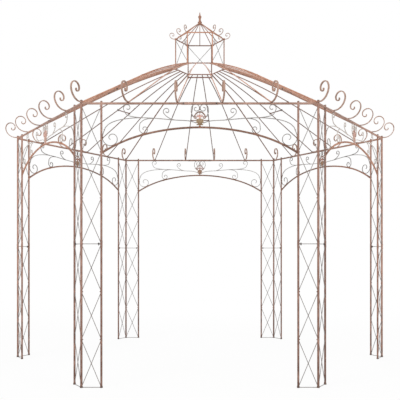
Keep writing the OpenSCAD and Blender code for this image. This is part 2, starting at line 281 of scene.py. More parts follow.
def soft_lamp(name, place, size, watts):
    """A square lamp of that size, which shines at the middle of the gazebo."""
    data = bpy.data.lights.new(name, "AREA")
    data.shape = "SQUARE"
    data.size = size
    data.energy = watts
    lamp = bpy.data.objects.new(name, data)
    lamp.location = place
    lamp.rotation_euler = (LAMP_AIM - Vector(place)).to_track_quat("-Z", "Y").to_euler()
    bpy.context.scene.collection.objects.link(lamp)


studio_surround(fill=0.55)
soft_lamp("lamp_front_left", (-6, -8, 6.5), 5, 520)
soft_lamp("lamp_front_right", (7, -7, 5.0), 5, 330)
soft_lamp("lamp_back", (1, 9, 6.5), 6, 420)
bpy.context.scene.view_settings.view_transform = "Standard"
print("the surround is white and three soft lamps are lit")

# %% [markdown]
# ## Paint
#
# The finish of such gazebos is a dark brown coat that is dabbed and rubbed with a rosy
# copper tone, so no two hand-widths of tube look alike. It could be painted with image
# maps, but a procedural material reads the place on the object itself, runs on over every
# joint without a seam, and needs no unwrapping. Each finish below is built from the same
# layers: cloudy patches a hand wide, rubbed dabs a finger wide, a fine grain, and dust near
# the ground, with roughness and bump that follow the same layers.

# %% Clouds and colours
def cloud(tree, place, scale, detail=3, low=0.35, high=0.65):
    """Noise of that many blobs a metre, stretched so that low becomes 0 and high becomes 1."""
    noise = add(tree, "ShaderNodeTexNoise", Scale=scale, Detail=detail, Roughness=0.55)
    tree.links.new(place, noise.inputs["Vector"])
    return mapped(tree, noise.outputs["Fac"], low, high)


def blend_colors(tree, share, under, over):
    """A colour that goes from under to over; each is a socket or three numbers."""
    mix = add(tree, "ShaderNodeMix", data_type="RGBA")
    for socket, value in ((mix.inputs["Factor"], share), (mix.inputs[6], under), (mix.inputs[7], over)):
        if isinstance(value, (tuple, list)):
            socket.default_value = (*value, 1)
        elif isinstance(value, (int, float)):
            socket.default_value = value
        else:
            tree.links.new(value, socket)
    return mix.outputs[2]


def srgb(red, green, blue):
    """Linear colour of an sRGB colour given from 0 to 255."""
    def linear(c):
        c = c / 255
        return c / 12.92 if c <= 0.04045 else ((c + 0.055) / 1.055) ** 2.4
    return (linear(red), linear(green), linear(blue))


def coat_tones(*colors):
    """The tones of a coat: its dark patches, its middle ones and its rubbed places."""
    return tuple(srgb(*color) for color in colors)


print("mid brown in linear light:", [round(c, 3) for c in srgb(144, 108, 94)])

# %% [markdown]
# The coat is laid on as by hand: a dark and a middle brown in patches, the rubbed tone over
# them, and last the dust that rain throws up from the ground. The mask of the rubbed places
# is handed on with the colour, because they are smoother too.

# %% Coat, dust and shader
def worn_paint(tree, place, tones, rub_share=0.55):
    """Colour and rub mask of the dabbed paint."""
    dark, middle, rub = tones
    patches = cloud(tree, place, 5.5, 4, 0.36, 0.64)
    coat = blend_colors(tree, patches, dark, middle)
    dabs = cloud(tree, place, 26, 3, 0.42, 0.66)
    flecks = math_node(tree, "MULTIPLY", cloud(tree, place, 150, 2, 0.45, 0.7), 0.5)
    rubbed = math_node(tree, "MULTIPLY", math_node(tree, "MAXIMUM", dabs, flecks), rub_share)
    return blend_colors(tree, rubbed, coat, rub), rubbed


def dusted(tree, place, color, dust, up_to):
    """The colour, darker and duller towards the ground from the height up_to."""
    near = mapped(tree, three_axes(tree, place)["Z"], up_to, 0.0, 0.0, 0.75)
    share = math_node(tree, "MULTIPLY", near, cloud(tree, place, 16, 3, 0.3, 0.6))
    return blend_colors(tree, share, color, dust)


def finish_of(tree, place, color, rubbed, rough=(0.58, 0.4), grain=260, relief=0.00012):
    """The shader: satin paint whose rubbed places are smoother, over a fine grain."""
    paint = add(tree, "ShaderNodeBsdfPrincipled")
    paint.inputs["Specular IOR Level"].default_value = 0.4
    tree.links.new(color, paint.inputs["Base Color"])
    tree.links.new(mapped(tree, rubbed, 0, 1, *rough), paint.inputs["Roughness"])
    bump = add(tree, "ShaderNodeBump", Strength=0.7, Distance=relief)
    tree.links.new(cloud(tree, place, grain, 3, 0.2, 0.8), bump.inputs["Height"])
    tree.links.new(bump.outputs["Normal"], paint.inputs["Normal"])
    out = tree.nodes.new("ShaderNodeOutputMaterial")
    tree.links.new(paint.outputs[0], out.inputs["Surface"])
    return paint


print("a coat is patches, dabs and flecks; dust and grain lie over it")

# %% [markdown]
# ### Paler places
#
# The coat is painted paler and rosier in places. On the front half of the roof, most of all
# on what faces out, and on the headers beside the front one, this is painted light, and the
# rear half of the roof keeps a plain coat as painted shade. The tubes at the far left and right
# are rosier too. Each of these is a mask that reads only the place and the normal, so it
# stays where it is when the eye moves.

# %% Masks of the paler places
def facing_out(tree, place):
    """1 where the surface faces up, out or aside, 0 where it faces down and in."""
    level = add(tree, "ShaderNodeVectorMath", operation="MULTIPLY")
    level.inputs[1].default_value = (1, 1, 0)
    tree.links.new(place, level.inputs[0])
    outward = add(tree, "ShaderNodeVectorMath", operation="NORMALIZE")
    tree.links.new(level.outputs["Vector"], outward.inputs[0])
    outer = add(tree, "ShaderNodeVectorMath", operation="ADD")
    outer.inputs[1].default_value = (0, 0, 0.7)
    tree.links.new(outward.outputs["Vector"], outer.inputs[0])
    toward = add(tree, "ShaderNodeVectorMath", operation="DOT_PRODUCT")
    tree.links.new(outer.outputs["Vector"], toward.inputs[0])
    tree.links.new(tree.nodes.new("ShaderNodeNewGeometry").outputs["Normal"], toward.inputs[1])
    return mapped(tree, toward.outputs["Value"], -0.45, -0.1)


def front_half(tree, place):
    """1 on the front half of the plan and 0 on the rear half."""
    return mapped(tree, three_axes(tree, place)["Y"], 0.35, -0.35, smooth=True)


def past_aside(tree, place, low, high):
    """0 up to the distance low to the left or right of the middle, and 1 from high on."""
    aside = math_node(tree, "ABSOLUTE", three_axes(tree, place)["X"])
    return mapped(tree, aside, low, high, smooth=True)


def front_flanks(tree, place):
    """1 on the two sides that flank the front one, which get painted light as well."""
    return math_node(tree, "MULTIPLY", front_half(tree, place), past_aside(tree, place, 1.02, 1.25))


print("masks: facing out, front-half, far aside and front flanks")

# %% [markdown]
# ### Tube
#
# The columns and rails are plain tube, so their finish needs only the layers, a rosier tone
# far aside, and the dust of the ground. The rear rails are given darker tones, as painted shade.

# %% Tube paint
TUBE_TONES = coat_tones((117, 84, 71), (144, 108, 94), (180, 141, 125))
RAIL_TONES = coat_tones((132, 100, 86), (158, 124, 109), (188, 153, 138))
SHADED_BACK_RAIL_TONES = coat_tones((112, 84, 72), (140, 108, 95), (178, 144, 128))
ARCH_TONES = coat_tones((96, 66, 52), (123, 89, 73), (162, 124, 106))
ROSE_TONES = coat_tones((157, 102, 77), (191, 136, 108), (221, 172, 146))
SHADED_TONES = coat_tones((106, 73, 59), (132, 95, 79), (166, 127, 108))
ROD_TONES = coat_tones((113, 108, 105), (140, 134, 130), (168, 162, 157))
TUBE_DUST = srgb(84, 56, 44)
ROSE_ASIDE = srgb(196, 142, 117)


def tube_colors(tree, place, tones, up_to=0.9):
    """Colour and rub mask of tube, rosier from 1.7 m aside, and dusty up to that height."""
    color, rubbed = worn_paint(tree, place, tones)
    rosy = math_node(tree, "MULTIPLY", past_aside(tree, place, 1.45, 1.7), 0.33)
    color = blend_colors(tree, rosy, color, ROSE_ASIDE)
    return dusted(tree, place, color, TUBE_DUST, up_to), rubbed


def tube_paint(name, tones):
    material, tree = fresh_material(name)
    place = place_on_object(tree)
    finish_of(tree, place, *tube_colors(tree, place, tones))
    return material


antique_brown_tube = tube_paint("antique_brown_tube", TUBE_TONES)
# The rear rails take darker tones: painted shade.
shaded_rear_rail_tube = tube_paint("shaded_rear_rail_tube", SHADED_BACK_RAIL_TONES)
eave_rail_tube = tube_paint("eave_rail_tube", RAIL_TONES)
print("tube paint:", len(antique_brown_tube.node_tree.nodes), "nodes")

# %% [markdown]
# The tubes of the roof take two coats at once: a pale one in front, as painted light, and a
# plain one behind it, as painted shade. Both read the same clouds, so the dabs run on from
# one coat to the other, only weaker and in other tones.

# %% Paint with painted light and shade
def lit_and_shaded_paint(name, pale_tones, plain_tones, rub_share, apart=None):
    """Paint with painted light: a pale coat on the front half, mostly on the outside, and a plain coat, as
    painted shade, behind it.

    What apart, a function, marks on the object is a bar of its own and takes the rod's tones.
    """
    material, tree = fresh_material(name)
    place = place_on_object(tree)
    pale, rubbed = worn_paint(tree, place, pale_tones, rub_share)
    plain = worn_paint(tree, place, plain_tones, rub_share / 2)[0]
    # Painted light: the pale coat on the front half, strongest on faces turned up or out; the plain coat
    # behind it is painted shade.
    outside = math_node(tree, "ADD", math_node(tree, "MULTIPLY", facing_out(tree, place), 0.4), 0.6)
    lit_share = math_node(tree, "MULTIPLY", front_half(tree, place), outside)
    color = blend_colors(tree, lit_share, plain, pale)
    if apart:
        bar = worn_paint(tree, place, ROD_TONES, 0.4)[0]
        color = blend_colors(tree, apart(tree, place), color, bar)
    finish_of(tree, place, color, rubbed)
    return material


# Hips, lantern roof, finial and rims: painted light on the front half, painted shade on the rear half.
rose_tube = lit_and_shaded_paint("rose_tube", ROSE_TONES, SHADED_TONES, 0.5)
print("bleached paint:", len(rose_tube.node_tree.nodes), "nodes")

# %% [markdown]
# ### One node, two finishes
#
# A lattice is one node, yet its tube is brown and its thin rods are greyer, because thin bar
# takes less of the rubbed coat. The faces can't be given two materials, as the frame's
# meshes stay untouched. So the material works out where it is: the plan is folded twelve
# times into the wedge beside one corner, and there the distance from the tube's own axis
# says whether this is tube or rod.

# %% Folding the plan
def folded_plan(tree, place, about_corners):
    """How far any point is out along its corner's or side's direction and aside from it; its height."""
    x, y, z = three_axes(tree, place)
    sixth = pi / 3
    offset = sixth / 2 if about_corners else 0
    turned = math_node(tree, "ADD", math_node(tree, "ARCTAN2", y, x), 2 * pi + offset)
    aside_angle = math_node(tree, "SUBTRACT", math_node(tree, "MODULO", turned, sixth), sixth / 2)
    reach = distance(tree, x, y, 0, 0)
    out = math_node(tree, "MULTIPLY", reach, math_node(tree, "COSINE", aside_angle))
    aside = math_node(tree, "MULTIPLY", reach, math_node(tree, "SINE", aside_angle))
    return out, math_node(tree, "ABSOLUTE", aside), z


def distance(tree, a, b, a0, b0):
    """Distance of the point a, b from a0, b0."""
    squares = []
    for value, centre in ((a, a0), (b, b0)):
        offset = math_node(tree, "SUBTRACT", value, centre)
        squares.append(math_node(tree, "MULTIPLY", offset, offset))
    return math_node(tree, "SQRT", math_node(tree, "ADD", *squares))


def lattice_paint():
    material, tree = fresh_material("lattice_iron")
    place = place_on_object(tree)
    flat_w = HALF - TUBE_X
    out, aside = folded_plan(tree, place, True)[:2]
    from_axis = distance(tree, out, aside, SIDE_LEN - flat_w * cos(pi / 3), flat_w * sin(pi / 3))
    is_tube = math_node(tree, "LESS_THAN", from_axis, SIDE_TUBE_D / 2 + SLEEVE_T + 0.0006)
    tube = tube_colors(tree, place, TUBE_TONES, 2.4)[0]
    rod, rubbed = worn_paint(tree, place, ROD_TONES, 0.4)
    finish_of(tree, place, blend_colors(tree, is_tube, rod, tube), rubbed)
    return material


lattice_iron = lattice_paint()
print("lattice paint tells tube from rod at", round(HALF - TUBE_X, 3), "m from the post")

# %% [markdown]
# The headers are alike: the arch is a brown tube and the scrolls that fill the corner above
# it are thin pale bar. The arch has three centres, so a point belongs to it where its
# distance from the middle centre, or from the haunch's centre, is that arc's radius.

# %% The arch's arcs
# The middle arc's radius over that of a single arc from tube to tube, and how far out it runs
FLATTER = 1.12
SEAM_SHARE = 0.587

FLAT_R = FLATTER * (TUBE_X ** 2 + ARCH_RISE ** 2) / (2 * ARCH_RISE)
FLAT_CENTRE_H = SPRING_H + ARCH_RISE - FLAT_R
SEAM_X = SEAM_SHARE * TUBE_X
FLAT_TURN = asin(SEAM_X / FLAT_R)
SEAM_H = FLAT_CENTRE_H + FLAT_R * cos(FLAT_TURN)
inward = Vector((-sin(FLAT_TURN), -cos(FLAT_TURN)))
from_seam = Vector((TUBE_X - SEAM_X, SPRING_H - SEAM_H))
HAUNCH_R = from_seam.length_squared / (2 * from_seam.dot(inward))
HAUNCH_X = SEAM_X + HAUNCH_R * inward.x
HAUNCH_H = SEAM_H + HAUNCH_R * inward.y
print(f"arch radii {FLAT_R:.3f} and {HAUNCH_R:.3f}")

# %% [markdown]
# With the arcs known, each point takes the arch's tones near their line and those of thin
# bar elsewhere. Both are painted paler on the headers beside the front one, as painted light,
# and the collar that ties the scrolls above the casting is darker.

# %% Arch or scroll
# Pale bar tone for the flanking headers: painted light.
LIT_PALE_BAR = srgb(206, 196, 188)
COLLAR_BROWN = srgb(92, 74, 66)


def off_arc(tree, across, up, centre_x, centre_h, radius):
    """How far a point is from an arc's line."""
    reach = distance(tree, across, up, centre_x, centre_h)
    return math_node(tree, "ABSOLUTE", math_node(tree, "SUBTRACT", reach, radius))


def header_paint():
    material, tree = fresh_material("header_iron")
    place = place_on_object(tree)
    aside, z = folded_plan(tree, place, False)[1:]
    past_seam = math_node(tree, "GREATER_THAN", aside, SEAM_X)
    before_seam = math_node(tree, "SUBTRACT", 1, past_seam)
    off_flat = off_arc(tree, aside, z, 0, FLAT_CENTRE_H, FLAT_R)
    off_haunch = off_arc(tree, aside, z, HAUNCH_X, HAUNCH_H, HAUNCH_R)
    off_arch = math_node(tree, "ADD", math_node(tree, "MULTIPLY", off_flat, before_seam),
                         math_node(tree, "MULTIPLY", off_haunch, past_seam))
    is_arch = math_node(tree, "LESS_THAN", off_arch, ARCH_D / 2 + SLEEVE_T + 0.0008)
    tube = tube_colors(tree, place, ARCH_TONES)[0]
    rod, rubbed = worn_paint(tree, place, ROD_TONES, 0.4)
    # Painted light: on the headers beside the front one the arch and scrolls are paler.
    flanks = front_flanks(tree, place)
    pale_tube = worn_paint(tree, place, ROSE_TONES, 0.5)[0]
    tube = blend_colors(tree, math_node(tree, "MULTIPLY", flanks, 0.75), tube, pale_tube)
    rod = blend_colors(tree, math_node(tree, "MULTIPLY", flanks, 0.8), rod, LIT_PALE_BAR)
    high = math_node(tree, "GREATER_THAN", z, SPRING_H + ARCH_RISE + 0.1)
    is_collar = math_node(tree, "MULTIPLY", high, math_node(tree, "LESS_THAN", aside, 0.7 * BAR_W))
    rod = blend_colors(tree, is_collar, rod, COLLAR_BROWN)
    finish_of(tree, place, blend_colors(tree, is_arch, rod, tube), rubbed)
    return material


header_iron = header_paint()
print("header paint:", len(header_iron.node_tree.nodes), "nodes")

# %% [markdown]
# ### Ribs, scrolls and lantern
#
# The front half of the roof is painted a pale rose, as painted light, and the rear half a
# plain grey brown, as painted shade. The eave scrolls are a little paler than the columns.
# In the lantern's cage the crossed rods are thin bar again, apart from its rosy posts and
# upper ring.

# %% Thin bar
def bar_paint(name, tones):
    material, tree = fresh_material(name)
    place = place_on_object(tree)
    finish_of(tree, place, *worn_paint(tree, place, tones, 0.4))
    return material


def cross_rods(tree, place):
    """1 on the crossed rods of the lantern, away from its posts and from its upper ring."""
    out, aside, z = folded_plan(tree, place, True)
    from_post = distance(tree, out, aside, RING_R, 0)
    off_post = math_node(tree, "GREATER_THAN", from_post, RING_D / 2 + SLEEVE_T + 0.002)
    off_ring = math_node(tree, "LESS_THAN", z, LANTERN_EAVE_H - RING_D / 2 - 0.001)
    return math_node(tree, "MULTIPLY", off_post, off_ring)


# Painted light: ribs and cage are pale rose on the front half, mostly outside; the rear half's grey brown is
# painted shade.
rib_iron = lit_and_shaded_paint("rib_iron", coat_tones((166, 120, 98), (198, 150, 128), (226, 184, 164)),
                          coat_tones((86, 60, 48), (108, 78, 65), (136, 104, 90)), 0.45)
cage_iron = lit_and_shaded_paint("cage_iron", ROSE_TONES, SHADED_TONES, 0.5, cross_rods)
scroll_iron = bar_paint("scroll_iron", coat_tones((138, 108, 93), (168, 136, 119), (202, 169, 152)))
print("rib, cage and scroll paints are mixed")

# %% [markdown]
# ### Casting paint
#
# The castings come from a sand mould, so their paint lies over a coarse grain. It runs in
# bands up the casting: the foot is rubbed to an orange brown, the leaf is olive brown, the
# brow darkens towards its top, and the open panel is rosy. On the rear sides all of them
# are redder, and on the flanks beside the front they are paler, which is painted light. A
# ramp over the height gives the bands.

# %% Casting paint
CAST_H = 0.31 * HEADER_DROP
CROWN_H = SPRING_H + ARCH_RISE + ARCH_D / 2
REAR_CAST = srgb(146, 104, 88)
# Pale tone of the castings on the flanks: painted light.
LIT_PALE_CAST = srgb(212, 176, 164)


def casting_paint(name, bands, rub, rub_share):
    """Paint in bands up a casting, each a share of its height and a colour."""
    material, tree = fresh_material(name)
    place = place_on_object(tree)
    ramp = add(tree, "ShaderNodeValToRGB")
    rise = mapped(tree, three_axes(tree, place)["Z"], CROWN_H, CROWN_H + CAST_H)
    tree.links.new(rise, ramp.inputs["Fac"])
    stops = ramp.color_ramp.elements
    stops[0].position, stops[-1].position = bands[0][0], bands[-1][0]
    for share, _ in bands[1:-1]:
        stops.new(share)
    for stop, (_, color) in zip(stops, bands):
        stop.color = (*srgb(*color), 1)
    rubbed = math_node(tree, "MULTIPLY", cloud(tree, place, 70, 4, 0.45, 0.65), rub_share)
    rear = math_node(tree, "SUBTRACT", 0.6, math_node(tree, "MULTIPLY", front_half(tree, place), 0.6))
    color = blend_colors(tree, rear, ramp.outputs["Color"], REAR_CAST)
    color = blend_colors(tree, rubbed, color, srgb(*rub))
    # Painted light: on the flanks beside the front the castings are paler.
    lit_share = math_node(tree, "MULTIPLY", front_flanks(tree, place), 0.7)
    color = blend_colors(tree, lit_share, color, LIT_PALE_CAST)
    finish_of(tree, place, color, rubbed, rough=(0.66, 0.45), grain=420, relief=0.0004)
    return material


leaf_paint = casting_paint("cast_leaf", ((0.0, (150, 88, 60)), (0.04, (146, 92, 66)), (0.08, (132, 108, 82)),
                                         (0.5, (152, 129, 101))), (188, 164, 134), 0.4)
brow_paint = casting_paint("cast_brow", ((0.45, (146, 112, 97)), (0.7, (136, 105, 91)), (0.9, (110, 84, 71)),
                                         (1.0, (98, 75, 63))), (180, 147, 130), 0.4)
panel_paint = casting_paint("cast_panel", ((0.4, (196, 150, 134)), (0.62, (192, 140, 124)),
                                           (0.74, (176, 124, 110)), (0.9, (112, 86, 76))),
                            (226, 188, 172), 0.5)
print("leaf, brow and panel paints are mixed")

# %% [markdown]
# ### Steel, weld and plastic
#
# What is added needs finishes of its own. Bolts and screws are dark zinced steel, bright
# only where a spanner has rubbed them. Weld beads took the same brown paint but lie darker,
# since the coat gathers in their ripples. The crossbar covers are a plain rosy brown, and
# the feet and plugs are brown plastic.

# %% Finishes of the small parts
def small_part_paint(name, tones, rub_share, rough, metal=0.0):
    material, tree = fresh_material(name)
    place = place_on_object(tree)
    color, rubbed = worn_paint(tree, place, tones, rub_share)
    shader = finish_of(tree, place, color, rubbed, rough=rough, grain=520, relief=0.00025)
    shader.inputs["Metallic"].default_value = metal
    return material


STEEL_TONES = coat_tones((66, 60, 58), (92, 84, 80), (140, 130, 124))
WELD_TONES = coat_tones((92, 66, 56), (122, 88, 74), (158, 120, 104))
CROSSBAR_TONES = coat_tones((92, 64, 56), (120, 88, 78), (156, 120, 108))
PLASTIC_TONES = coat_tones((80, 60, 51), (103, 80, 69), (130, 105, 92))
dark_steel = small_part_paint("dark_steel", STEEL_TONES, 0.5, (0.5, 0.32), metal=0.35)
weld_iron = small_part_paint("weld_iron", WELD_TONES, 0.45, (0.62, 0.45))
crossbar_paint = small_part_paint("crossbar_paint", CROSSBAR_TONES, 0.5, (0.6, 0.42))
brown_plastic = small_part_paint("brown_plastic", PLASTIC_TONES, 0.3, (0.6, 0.5))
print("steel, weld, crossbar and plastic finishes are mixed")

# %% [markdown]
# ## Small parts
#
# Feet, plugs, screws and rings are all turned shapes, so half of their outline is drawn
# once and spun round an axis. Bolt heads start as six-sided prisms whose top edges are
# bevelled, and a weld bead is a flattened ball. Most of their measures are millimetres,
# because they are small. Each shape is made once, and its places come later.

# %% Basic shapes
def turned(profile, segments=14):
    """A closed shape: pairs of radius and height in millimetres, spun about Z."""
    bm = bmesh.new()
    corners = [bm.verts.new((radius / 1000, 0, height / 1000)) for radius, height in profile]
    rest = corners[1:] if profile[0][0] == 0 else corners[1:] + corners[:1]
    outline = [bm.edges.new(pair) for pair in zip(corners, rest)]
    bmesh.ops.spin(bm, geom=corners + outline, axis=(0, 0, 1), cent=(0, 0, 0), angle=2 * pi,
                   steps=segments, use_merge=True)
    bmesh.ops.remove_doubles(bm, verts=bm.verts, dist=1e-6)
    bmesh.ops.recalc_face_normals(bm, faces=bm.faces)
    return bm


def hexagon_head(across, height):
    """A bolt head or nut that stands on Z = 0, with its upper edges rounded."""
    bm = bmesh.new()
    bmesh.ops.create_cone(bm, cap_ends=True, segments=6, radius1=across / sqrt(3) / 1000,
                          radius2=across / sqrt(3) / 1000, depth=height / 1000)
    bmesh.ops.translate(bm, verts=bm.verts, vec=(0, 0, height / 2000))
    upper = [edge for edge in bm.edges if min(v.co.z for v in edge.verts) > 0.9 * height / 1000]
    bmesh.ops.bevel(bm, geom=upper, offset=0.0006, affect="EDGES", segments=2, profile=0.5, material=-1)
    return bm


def bead(wide, long, high):
    """A weld bead: a low ball, in millimetres."""
    bm = bmesh.new()
    bmesh.ops.create_uvsphere(bm, u_segments=8, v_segments=5, radius=0.0005)
    bmesh.ops.scale(bm, verts=bm.verts, vec=(wide, long, high))
    return bm


def tapered(start, end, thick, thin):
    """A six-sided spike from start to end, for the veins of leaves; all in metres."""
    start, end = Vector(start), Vector(end)
    bm = bmesh.new()
    bmesh.ops.create_cone(bm, cap_ends=True, segments=6, radius1=thick, radius2=thin,
                          depth=(end - start).length)
    aim = (end - start).to_track_quat("Z", "Y").to_matrix().to_4x4()
    bmesh.ops.transform(bm, matrix=Matrix.Translation((start + end) / 2) @ aim, verts=bm.verts)
    return bm


print("a weld bead has", len(bead(9, 7, 8).faces), "faces")

# %% [markdown]
# A piece is one mesh with one finish, and often holds a shape many times. The copies could
# stay objects of their own, but one mesh keeps the list of pieces short. It is shaded
# smooth, and its edges stay sharp where they turn by more than a set angle.

# %% From shapes to pieces
SHARP_FROM = 38


def together(*shapes_and_places):
    """One shape of several, each given with the matrix of its place."""
    whole = bmesh.new()
    for shape, place in shapes_and_places:
        part = bpy.data.meshes.new("part")
        shape.to_mesh(part)
        part.transform(place)
        whole.from_mesh(part)
        bpy.data.meshes.remove(part)
    return whole


def keep_piece(name, whole, finish):
    """The shape as a smooth piece of that finish, riding on the frame."""
    mesh = bpy.data.meshes.new(name)
    whole.to_mesh(mesh)
    mesh.shade_smooth()
    mesh.set_sharp_from_angle(angle=radians(SHARP_FROM))
    mesh.materials.append(finish)
    piece = bpy.data.objects.new(name, mesh)
    bpy.context.scene.collection.objects.link(piece)
    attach(piece, "root")
    print(f"{name}: {len(mesh.polygons)} faces")
    return piece


def stamp(name, shape, places, finish):
    """One piece: the shape at every place."""
    keep_piece(name, together(*[(shape, place) for place in places]), finish)


print("edges stay sharp from", SHARP_FROM, "degrees")

# %% [markdown]
# The plan has six equal sides, so a place is worked out once, on the front side or on the
# corner along X, and then turned to the others in steps of 60 degrees. A place is a matrix,
# and in a product of matrices the one on the right acts first.

# %% Places round the gazebo
STAY = Matrix.Identity(4)
MIRRORS = (STAY, Matrix.Scale(-1, 4, (1, 0, 0)))
SIDES = range(6)
BOTH_WAYS = (-1, 1)


def move(x, y, z):
    return Matrix.Translation((x, y, z))


def turn(angle, axis):
    return Matrix.Rotation(radians(angle), 4, axis)


def on_side(i):
    """Turns what is placed on the front side to side i."""
    return turn(60 * i, "Z")


def on_corner(i):
    """Turns what is placed along +X to corner i."""
    return turn(60 * i - 60, "Z")


def on_rib(x):
    """Turns what is placed along +X to the rib that leaves the front rail at x."""
    return turn(degrees(atan2(-APOTHEM, x)), "Z")


def at_both_ends(x, z, y=-APOTHEM):
    """Places on every side, at the distance x to the left and to the right of its middle."""
    return [on_side(i) @ move(end * x, y, z) for i in SIDES for end in BOTH_WAYS]


post_places = [on_corner(i) @ move(SIDE_LEN, 0, 0) for i in SIDES]
upright_places = [(place, POST_D) for place in post_places]
upright_places += [(place, SIDE_TUBE_D) for place in at_both_ends(TUBE_X, 0)]
print("the gazebo stands on", len(upright_places), "tubes")

# %% [markdown]
# ### Feet, caps and plugs
#
# Every tube ends in a plastic foot that grips it from outside, and the open upper ends are
# stopped: the posts with low domes, the outer tubes with small plugs that show as dark
# nubs above the eave rail.

# %% Feet, caps and plugs
def foot(tube_d):
    """A plastic foot whose sleeve grips a tube of that diameter."""
    grip = 1000 * tube_d / 2
    sleeve = grip + 1000 * SLEEVE_T
    return turned([(grip - 1.2, 0.3), (sleeve + 0.1, 0.3), (sleeve + 0.5, 0.9), (sleeve + 0.5, 11.5),
                   (sleeve + 0.2, 14.4), (grip + 1.2, 16.2), (grip + 0.5, 16.8), (grip - 1.2, 16.8)], 18)


feet = together(*[(foot(tube_d), place) for place, tube_d in upright_places])
keep_piece("tube_feet", feet, brown_plastic)

post_dome = turned([(0, -0.8), (10.9, -0.8), (11.3, 0.4), (11.1, 1.9), (9.6, 3.9), (6.6, 5.6),
                    (3.2, 6.6), (0, 6.9)], 18)
stamp("post_domes", post_dome, [place @ move(0, 0, POST_TOP) for place in post_places],
      brown_plastic)

tube_plug = turned([(0, -0.8), (9.8, -0.8), (10.0, 0.6), (9.4, 2.4), (7.0, 4.4), (3.4, 5.4), (0, 5.7)], 16)
stamp("tube_plugs", tube_plug, at_both_ends(TUBE_X, TUBE_TOP), brown_plastic)

# %% [markdown]
# ### Bolts
#
# The gazebo goes together from flat parts. A sleeve joins the two halves of each eave rail
# and takes a bolt near each end, with its head outside and its nut inside. The two halves
# of a column are bolted through small lugs on the level rod, close to the outer tube. A
# nut end is a bolt end with the thread standing out of it, so it reuses that shape.

# %% Bolts
seat = turned([(0, -2.4), (6.4, -2.4), (6.4, 0.5), (5.8, 1.1), (0, 1.1)], 14)
bolt_end = together((seat, STAY), (hexagon_head(9.5, 4.0), move(0, 0, 0.001)))
thread = turned([(0, 0), (2.4, 0), (2.4, 7.2), (2.0, 7.8), (0, 7.8)], 10)
nut_end = together((bolt_end, STAY), (thread, STAY))
sleeve_r = RAIL_D / 2 + SLEEVE_T
bolt_x = SPLICE_LEN / 2 - 0.016
heads = [(bolt_end, place @ turn(90, "X")) for place in at_both_ends(bolt_x, EAVE_H, -APOTHEM - sleeve_r)]
nuts = [(nut_end, place @ turn(-90, "X")) for place in at_both_ends(bolt_x, EAVE_H, -APOTHEM + sleeve_r)]
keep_piece("rail_bolts", together(*heads, *nuts), dark_steel)

lug = turned([(0, -1.6), (6.8, -1.6), (7.4, -1.0), (7.4, 1.0), (6.8, 1.6), (0, 1.6)], 14)
joint_bolt = together((lug, move(0, 0, 0.0046)), (lug, move(0, 0, -0.0046)),
                      (hexagon_head(9.5, 4.2), move(0, 0, 0.0062)),
                      (hexagon_head(9.5, 4.2), move(0, 0, -0.0062) @ turn(180, "X")),
                      (thread, move(0, 0, -0.0062) @ turn(180, "X")))
JOINT_BOLT_IN = 0.0225
stamp("column_bolts", joint_bolt, at_both_ends(TUBE_X + JOINT_BOLT_IN, JOINT_H), dark_steel)

# %% [markdown]
# ### Crossbars of the roof
#
# A crossbar ties the two inner ribs of each side. It is thicker than a rib, because a tube
# is pushed over its rod, with a collar at each end, so one outline with both collars is
# spun round the bar's own axis. A strap with a bolt through its top holds each rib there.

# %% Covers and clamps
strap = turned([(RIB_D * 500 - 0.6, -5.5), (RIB_D * 500 + 1.2, -5.5), (RIB_D * 500 + 1.6, -5.0),
                (RIB_D * 500 + 1.6, 5.0), (RIB_D * 500 + 1.2, 5.5), (RIB_D * 500 - 0.6, 5.5)], 14)


def rib_slope(r0, r1):
    """Slope in degrees of the straight part of a rib that runs from r0 in to r1."""
    return degrees(atan2((RING_H - RAIL_TOP) * BEND_RISE, (r0 - r1) * BEND_RUN))


def rib_ends(x):
    """How far out the rib that leaves the rail at x starts, and how far out it ends."""
    r0 = hypot(x, APOTHEM)
    return r0, RING_APOTHEM * r0 / APOTHEM


def crossbar_clamp(x):
    """Strap round a rib with a bolt through its top, at the end of a crossbar."""
    r0, r1 = rib_ends(x)
    on_line = on_rib(x) @ move(r0 * CROSSBAR_OUT, 0, CROSSBAR_H) @ turn(rib_slope(r0, r1), "Y")
    return [(strap, on_line @ turn(90, "Y")),
            (bolt_end, on_line @ move(0, 0, RIB_D / 2 + 0.0016)),
            (nut_end, on_line @ turn(180, "X") @ move(0, 0, RIB_D / 2 + 0.0016))]


CROSSBAR_OUT = 1 - CROSSBAR_RUN * (1 - RING_APOTHEM / APOTHEM)
CROSSBAR_H = RAIL_TOP + (RING_H - RAIL_TOP) * BEND_RISE * CROSSBAR_RUN / BEND_RUN
bar_r = CROSSBAR_D * 500 - 0.5
half_bar = INNER_RIB_X * CROSSBAR_OUT * 1000 - RIB_D * 500 - 2
cover = turned([(bar_r, -half_bar), (6.6, -half_bar), (7.2, -half_bar + 1), (7.2, -half_bar + 9),
                (6.0, -half_bar + 11), (6.0, half_bar - 11), (7.2, half_bar - 9), (7.2, half_bar - 1),
                (6.6, half_bar), (bar_r, half_bar)], 12)
on_front = move(0, -APOTHEM * CROSSBAR_OUT, CROSSBAR_H) @ turn(90, "Y")
stamp("crossbar_covers", cover, [on_side(i) @ on_front for i in SIDES], crossbar_paint)

clamps = [(shape, on_side(i) @ place) for i in SIDES for x in (-INNER_RIB_X, INNER_RIB_X)
          for shape, place in crossbar_clamp(x)]
keep_piece("crossbar_clamps", together(*clamps), dark_steel)

# %% [markdown]
# ### Screws in the sleeves
#
# Small pan heads pin the sleeves: two on the outer face of every upright at its joint, and
# one on top of each rib and hip where its straight part ends. A rib's bend is an arc, so the
# place of that seam follows from the bend and not from the rib's length.

